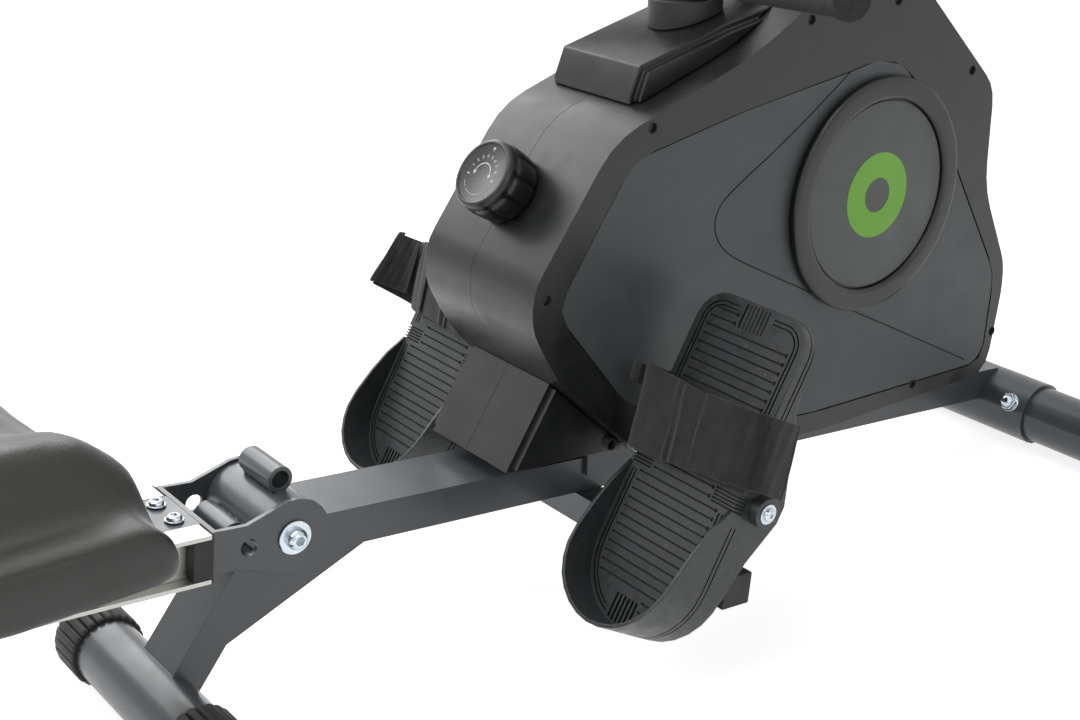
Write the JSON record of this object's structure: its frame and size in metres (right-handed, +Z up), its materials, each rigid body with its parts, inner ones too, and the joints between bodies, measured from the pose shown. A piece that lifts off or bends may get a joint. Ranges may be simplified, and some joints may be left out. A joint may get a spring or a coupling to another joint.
{
  "type": "folding rowing machine",
  "caption": "Folding indoor rowing machine: sliding seat on a hinged aluminium rail, tilting pedals with straps, enclosed magnetic flywheel, pull handle.",
  "frame": {"origin": "on the floor, under the centre of the machine's bounding box, on the middle plane", "axes": "+X forward, from the seat to the housing; +Y to the left; +Z up"},
  "size_m": [2.0836, 0.5468, 0.6828],
  "materials": {
    "frame_paint": "gloss",
    "boss_paint": "gloss",
    "shell_plastic": "satin",
    "panel_plastic": "satin",
    "ring_plastic": "satin",
    "black_plastic": "matte",
    "black_rubber": "matte",
    "tyre_rubber": "matte",
    "alloy": "satin",
    "zinc": "bright",
    "steel": "brushed",
    "vinyl": "fine grain",
    "webbing": "woven",
    "foam": "soft foam",
    "pale_plastic": "matte",
    "screen_glass": "clear",
    "cast": "machined"
  },
  "bodies": {
    "frame": {"main_frame": "frame_paint", "pivot_boss": "boss_paint", "centre_leg": "frame_paint", "centre_foot_cap_left": "black_plastic", "centre_foot_cap_right": "black_plastic", "front_foot_tube": "frame_paint", "front_foot_bolt_left": "zinc", "front_foot_bolt_right": "zinc", "front_foot_cap_left": "black_plastic", "front_foot_cap_right": "black_plastic", "pedal_axle": "zinc", "pedal_stop_bar": "frame_paint", "stop_bar_plug_left": "black_plastic", "stop_bar_plug_right": "black_plastic", "housing_left": "shell_plastic", "housing_right": "shell_plastic", "side_panel_left": "panel_plastic", "side_panel_right": "panel_plastic", "ring_cover_left": "ring_plastic", "ring_cover_right": "ring_plastic", "frame_cover_left": "shell_plastic", "frame_cover_right": "shell_plastic", "top_cover": "shell_plastic", "gear_frame": "frame_paint", "drive_belt": "black_rubber", "handle_cradle": "black_plastic"},
    "rail_unit": {"rail": "alloy", "rail_front_buffer": "black_rubber", "rail_rear_stop": "black_plastic", "fold_bracket": "frame_paint", "tongue_bolt_left": "zinc", "tongue_bolt_right": "zinc", "pivot_bolt": "zinc", "rear_foot": "frame_paint", "rear_foot_cap_left": "black_plastic", "rear_foot_cap_right": "black_plastic"},
    "seat": {"seat_carriage": "steel", "seat_cushion": "vinyl"},
    "roller_front_left": {"seat_roller_front_left": "black_rubber"},
    "roller_front_right": {"seat_roller_front_right": "black_rubber"},
    "roller_rear_left": {"seat_roller_rear_left": "black_rubber"},
    "roller_rear_right": {"seat_roller_rear_right": "black_rubber"},
    "pedal_left": {"foot_plate_left": "black_plastic", "foot_strap_left": "webbing"},
    "pedal_right": {"foot_plate_right": "black_plastic", "foot_strap_right": "webbing"},
    "knob": {"resistance_knob": "black_plastic"},
    "brake_arm": {"magnet_arm": "steel"},
    "flywheel_unit": {"flywheel": "cast"},
    "drive_wheel": {"drive_pulley": "black_plastic"},
    "drum": {"strap_drum": "black_plastic"},
    "handle": {"handle_bar": "boss_paint", "handle_grip_left": "foam", "handle_grip_right": "foam", "pull_strap": "webbing"},
    "console": {"console_case": "shell_plastic", "console_screen": "screen_glass"},
    "button": {"console_button": "pale_plastic"},
    "wheel_left": {"transport_wheel_left": "tyre_rubber"},
    "wheel_right": {"transport_wheel_right": "tyre_rubber"}
  },
  "joints": [
    {"name": "rail_fold", "type": "hinge", "parent": "frame", "child": "rail_unit", "pos_m": [0.07522, 0, 0.1568], "axis": [0, 1, 0], "range_deg": [0, 90]},
    {"name": "seat_slide", "type": "slide", "parent": "rail_unit", "child": "seat", "axis": [-0.9965, 0, 0.0837], "range_m": [-0.055, 0.77]},
    {"name": "roller_front_left_spin", "type": "hinge", "parent": "seat", "child": "roller_front_left", "pos_m": [-0.09223, 0.0455, 0.17036], "axis": [0, 1, 0], "continuous": true},
    {"name": "roller_front_right_spin", "type": "hinge", "parent": "seat", "child": "roller_front_right", "pos_m": [-0.09223, -0.0455, 0.17036], "axis": [0, 1, 0], "continuous": true},
    {"name": "roller_rear_left_spin", "type": "hinge", "parent": "seat", "child": "roller_rear_left", "pos_m": [-0.20583, 0.0455, 0.1799], "axis": [0, 1, 0], "continuous": true},
    {"name": "roller_rear_right_spin", "type": "hinge", "parent": "seat", "child": "roller_rear_right", "pos_m": [-0.20583, -0.0455, 0.1799], "axis": [0, 1, 0], "continuous": true},
    {"name": "pedal_left_tilt", "type": "hinge", "parent": "frame", "child": "pedal_left", "pos_m": [0.39, 0, 0.16067], "axis": [0, 1, 0], "range_deg": [0, 50]},
    {"name": "pedal_right_tilt", "type": "hinge", "parent": "frame", "child": "pedal_right", "pos_m": [0.39, 0, 0.16067], "axis": [0, 1, 0], "range_deg": [0, 50]},
    {"name": "resistance_turn", "type": "hinge", "parent": "frame", "child": "knob", "pos_m": [0.31733, 0, 0.38068], "axis": [-0.8175, 0, 0.576], "range_deg": [-240, 0]},
    {"name": "brake_arm_swing", "type": "hinge", "parent": "frame", "child": "brake_arm", "pos_m": [0.6352, 0.004, 0.47482], "axis": [0, 1, 0], "range_deg": [0, 12]},
    {"name": "flywheel_spin", "type": "hinge", "parent": "frame", "child": "flywheel_unit", "pos_m": [0.67021, 0.004, 0.33679], "axis": [0, 1, 0], "continuous": true},
    {"name": "drive_wheel_spin", "type": "hinge", "parent": "frame", "child": "drive_wheel", "pos_m": [0.4712, -0.024, 0.30478], "axis": [0, 1, 0], "continuous": true},
    {"name": "handle_pull", "type": "slide", "parent": "frame", "child": "handle", "axis": [-0.9903, 0, 0.1392], "range_m": [0, 0.1]},
    {"name": "drum_turn", "type": "hinge", "parent": "frame", "child": "drum", "pos_m": [0.4712, -0.004, 0.30478], "axis": [0, 1, 0], "range_deg": [-200, 0]},
    {"name": "console_tilt", "type": "hinge", "parent": "frame", "child": "console", "pos_m": [0.66524, 0, 0.61681], "axis": [0, 1, 0], "range_deg": [-12, 12]},
    {"name": "button_press", "type": "slide", "parent": "console", "child": "button", "axis": [0.5736, 0, -0.8192], "range_m": [0, 0.0015], "stiffness_N_per_m": 400},
    {"name": "wheel_left_spin", "type": "hinge", "parent": "frame", "child": "wheel_left", "pos_m": [1.02082, 0.229, 0.023], "axis": [0, 1, 0], "continuous": true},
    {"name": "wheel_right_spin", "type": "hinge", "parent": "frame", "child": "wheel_right", "pos_m": [1.02082, -0.229, 0.023], "axis": [0, 1, 0], "continuous": true}
  ],
  "couplings": [
    {"joint": "roller_front_left_spin", "follows": "seat_slide", "rad_per_m": -64.103},
    {"joint": "roller_front_right_spin", "follows": "seat_slide", "rad_per_m": -64.103},
    {"joint": "roller_rear_left_spin", "follows": "seat_slide", "rad_per_m": -64.103},
    {"joint": "roller_rear_right_spin", "follows": "seat_slide", "rad_per_m": -64.103},
    {"joint": "brake_arm_swing", "follows": "resistance_turn", "ratio": -0.05},
    {"joint": "drive_wheel_spin", "follows": "flywheel_spin", "ratio": 0.25},
    {"joint": "drum_turn", "follows": "handle_pull", "rad_per_m": -29.412}
  ]
}
